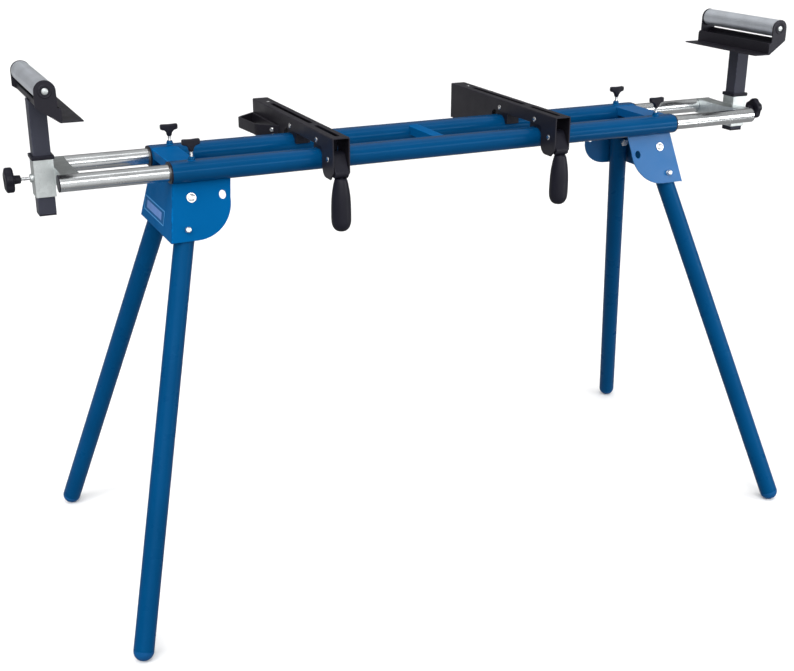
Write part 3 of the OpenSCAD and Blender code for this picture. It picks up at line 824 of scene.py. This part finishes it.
def build_channel(node):
    """Sheet channel, rounded along its two top folds and round the folded end at the rear."""
    low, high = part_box(node)

    def fold(edge):
        a, b = (v.co for v in edge.verts)
        top = min(a.z, b.z) > high.z - HAIR
        long = abs(a.y - b.y) > 30 * MM
        side_face = any(max(abs(a.x - x), abs(b.x - x)) < HAIR for x in (low.x, high.x))
        rear = min(a.y, b.y) > high.y - HAIR and (top or abs(a.z - b.z) > 10 * MM)
        return (top and side_face and long) or rear

    refine(node, node, "black_paint", 0.45 * MM, fold, 2.4 * MM)


def build_loop():
    """Side loop of the left holder, with the rivet on its slanting part."""
    refine("holder_loop", "holder_left", "black_paint", 1.0 * MM, angle=30)
    wall_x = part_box("holder_left")[0].x
    slanting_out = (-0.649, -0.761, 0)
    place = along((wall_x - 12 * MM, 138.1 * MM, BEAM_Z + 15 * MM), slanting_out)
    bm = bmesh.new()
    lathe(bm, [(0, -0.2 * MM)] + dome(4.2 * MM, 1.5 * MM, 0.2), place, 32)
    finish_piece("loop_rivet", bm, "bright_steel", "holder_left")


def build_rivets(side, body):
    """Rivets across the channel, with a domed head on either side, and one flush with its top."""
    low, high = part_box(f"holder_{side}")
    middle = (low.x + high.x) / 2
    half = (high.x - low.x) / 2
    lever_z, rail_z = BEAM_Z + 9 * MM, BEAM_Z + 35 * MM
    spots = ((-127 * MM, lever_z), (-TUBE_Y, rail_z), (TUBE_Y - 4 * MM, rail_z))
    shank_r, head_r, head_high = 3 * MM, 5 * MM, 1.6 * MM
    bm = bmesh.new()
    for y, z in spots:
        shank = [(0, -half), (shank_r, -half), (shank_r, half), (0, half)]
        lathe(bm, shank, along((middle, y, z), (1, 0, 0)), 24)
        for sx in (-1, 1):
            place = along((middle + sx * half, y, z), (sx, 0, 0))
            lathe(bm, [(0, 0)] + dome(head_r, head_high, 0.2), place, 32)
    flush = [(0, -3.5), (2.5, -3.5), (2.5, -1.5), (4.4, -0.15), (4.1, 0.0), (1.6, 0.0), (1.2, -0.6),
             (0, -0.7)]
    lathe(bm, [(r * MM, h * MM) for r, h in flush], along((middle, 238 * MM, high.z), (0, 0, 1)), 32)
    finish_piece(f"holder_pins_{side}.skin", bm, "bright_steel", body, [f"holder_pins_{side}"])


def build_grip(side):
    """Pear-shaped hand grip; its profile is smoothed through a few (radius, height) points in mm."""
    node = f"grip_{side}"
    low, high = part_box(node)
    middle = (low + high) / 2
    keys = [(0, 0), (6.0, 0.5), (11.0, 2.8), (15.0, 7.4), (17.4, 13.6), (18.5, 23), (18.4, 45), (17.6, 62),
            (16.3, 74), (14.3, 86), (12.6, 93.5), (11.4, 97.2), (9.5, 99)]
    profile = smooth_line(keys, 4) + [(0.0, keys[-1][1])]
    bm = bmesh.new()
    place = Matrix.Translation((middle.x, middle.y, low.z))
    lathe(bm, [(max(0.0, r) * MM, h * MM) for r, h in profile], place, 56)
    finish_piece(f"{node}.skin", bm, "black_plastic", f"lever_{side}", [node])


def smooth_line(keys, steps):
    """Catmull-Rom curve through the key points."""
    points = []
    for k in range(len(keys) - 1):
        p0, p1, p2, p3 = (Vector(keys[min(max(i, 0), len(keys) - 1)]) for i in (k - 1, k, k + 1, k + 2))
        for i in range(steps):
            t = i / steps
            points.append(tuple(0.5 * (2 * p1 + (p2 - p0) * t + (2 * p0 - 5 * p1 + 4 * p2 - p3) * t * t
                                       + (3 * p1 - p0 - 3 * p2 + p3) * t ** 3)))
    points.append(tuple(keys[-1]))
    return points


# ---------- stage ----------


def stage_piece(name, bm, specular, glow, shadow):
    """A pale matt piece of the stage, which the camera sees and the object doesn't mirror."""
    for face in bm.faces:
        face.smooth = True
    mesh = bpy.data.meshes.new(name)
    bm.to_mesh(mesh)
    bm.free()
    material = bpy.data.materials.new(f"pale_{name}")
    g = Graph(material)
    drift = g.span(g.noise(3.0), 0, 1)
    g.feed(g.shader.inputs["Base Color"], g.mix(drift, rgb(0.91, 0.91, 0.91), rgb(0.93, 0.93, 0.93)))
    g.feed(g.shader.inputs["Roughness"], 0.9)
    g.feed(g.shader.inputs["Specular IOR Level"], specular)
    g.feed(g.shader.inputs["Emission Color"], rgb(1.0, 1.0, 1.0))
    g.feed(g.shader.inputs["Emission Strength"], glow)
    mesh.materials.append(material)
    piece = bpy.data.objects.new(name, mesh)
    bpy.context.scene.collection.objects.link(piece)
    piece.visible_diffuse = False
    piece.visible_glossy = False
    piece.visible_shadow = shadow


def build_floor():
    bm = bmesh.new()
    bmesh.ops.create_grid(bm, x_segments=2, y_segments=2, size=40.0)
    stage_piece("floor", bm, specular=0.1, glow=0.0, shadow=True)


def build_backdrop():
    """Pale wall that curves up far away all round, so that no view sees past the floor."""
    radius, depth, height = 30.0, 8.0, 14.0
    rise = [TAU / 4 * i / 8 for i in range(9)]
    arc = [(radius + depth * math.sin(a), height * (1 - math.cos(a))) for a in rise]
    around = [TAU * k / 64 for k in range(64)]
    bm = bmesh.new()
    rings = [[bm.verts.new((r * math.cos(a), r * math.sin(a), z)) for a in around] for r, z in arc]
    for low, high in zip(rings, rings[1:]):
        join_rings(bm, low, high)
    stage_piece("backdrop", bm, specular=0.5, glow=0.8, shadow=False)


def build_world():
    """Studio dome: dim just above the horizon and brighter overhead, with a wide glow in front of
    the stand and a narrow bright strip in that glow, which draws the light line on the tubes."""
    world = bpy.data.worlds.new("studio")
    bpy.context.scene.world = world
    g = Graph(world, "BACKGROUND", "Generated")
    split = g.add("ShaderNodeSeparateXYZ", Vector=g.place)
    height = g.span(split.outputs["Z"], 0.0, 1.0, start=-1.0, end=1.0)
    dome_light = g.ramp(height, ((0.0, 0.26), (0.40, 0.40), (0.52, 0.12), (0.60, 0.13), (0.73, 0.22),
                                 (0.84, 0.42), (1.0, 0.52)))
    front = g.span(split.outputs["Y"], 0.0, 0.76, start=-0.50, end=-0.95)
    band = g.ramp(height, ((0.61, 0.0), (0.64, 1.0), (0.68, 1.0), (0.72, 0.0)))
    ahead = g.span(split.outputs["Y"], 0.0, 3.4, start=-0.45, end=-0.92)
    glow = g.math("ADD", g.math("MAXIMUM", dome_light, front), g.math("MULTIPLY", band, ahead))
    g.feed(g.shader.inputs["Color"], glow)
    g.feed(g.shader.inputs["Strength"], 1.15)


def add_lamp(name, data, heading, mirrored):
    """Puts a lamp in the scene. One that isn't mirrored lights the object without showing on it."""
    lamp = bpy.data.objects.new(name, data)
    lamp.rotation_euler = Vector(heading).to_track_quat("-Z", "Y").to_euler()
    lamp.visible_glossy = mirrored
    bpy.context.scene.collection.objects.link(lamp)
    return lamp


def area_light(name, where, target, size, power, mirrored=True):
    data = bpy.data.lights.new(name, "AREA")
    data.shape = "RECTANGLE"
    data.size, data.size_y = size
    data.energy = power
    add_lamp(name, data, Vector(target) - Vector(where), mirrored).location = where


def sun_light(name, heading, spread, strength, mirrored=True):
    data = bpy.data.lights.new(name, "SUN")
    data.angle = math.radians(spread)
    data.energy = strength
    add_lamp(name, data, heading, mirrored)


def build_lights():
    """Places and sizes are in metres, spreads in degrees, powers in watts."""
    sun_light("key", heading=(0.40, 0.62, -0.75), spread=50, strength=1.4)
    sun_light("overhead", heading=(0.0, 0.1, -1.0), spread=90, strength=1.2, mirrored=False)
    area_light("right_soft", where=(3.2, -2.4, 1.4), target=(0.6, 0, 0.6), size=(1.0, 1.3), power=36)
    area_light("left_soft", where=(-2.9, -0.4, 1.2), target=(-0.55, 0, 0.7), size=(0.9, 1.2), power=25,
               mirrored=False)
    area_light("right_low", where=(1.40, -1.31, 0.22), target=(0.57, -0.1, 0.68), size=(0.45, 0.35),
               power=2.3)
    area_light("top_strip", where=(0.0, -0.6, 3.2), target=(0, 0, 0.8), size=(4.0, 0.4), power=8)


def build_camera():
    """Three-quarter view from the left front, a little above the rollers."""
    spot = (-1.07747, -2.15245, 1.32458)
    yaw, pitch, roll = (math.radians(angle) for angle in (25.242, 21.188, 0.233))
    data = bpy.data.cameras.new("camera")
    data.sensor_width = 36.0
    data.lens = 55.39
    data.clip_start, data.clip_end = 0.05, 200.0
    ahead = Vector((math.sin(yaw) * math.cos(pitch), math.cos(yaw) * math.cos(pitch), -math.sin(pitch)))
    right = Vector((math.cos(yaw), -math.sin(yaw), 0))
    up = right.cross(ahead)
    right, up = right * math.cos(roll) + up * math.sin(roll), up * math.cos(roll) - right * math.sin(roll)
    camera = bpy.data.objects.new("camera", data)
    turn = Matrix((right, up, -ahead)).transposed().to_4x4()
    camera.matrix_world = Matrix.Translation(spot) @ turn
    bpy.context.scene.collection.objects.link(camera)
    bpy.context.scene.camera = camera


build_camera()
build_beam()
build_brackets()
build_pivot_bolts()
build_beam_welds()
build_badge()
build_legs()
build_lock_pins()
build_wing_screws()
build_post_knobs()
build_extensions()
build_posts()
build_rollers()
build_holders()
build_floor()
build_backdrop()
build_world()
build_lights()
bpy.context.scene.view_settings.view_transform = "Standard"
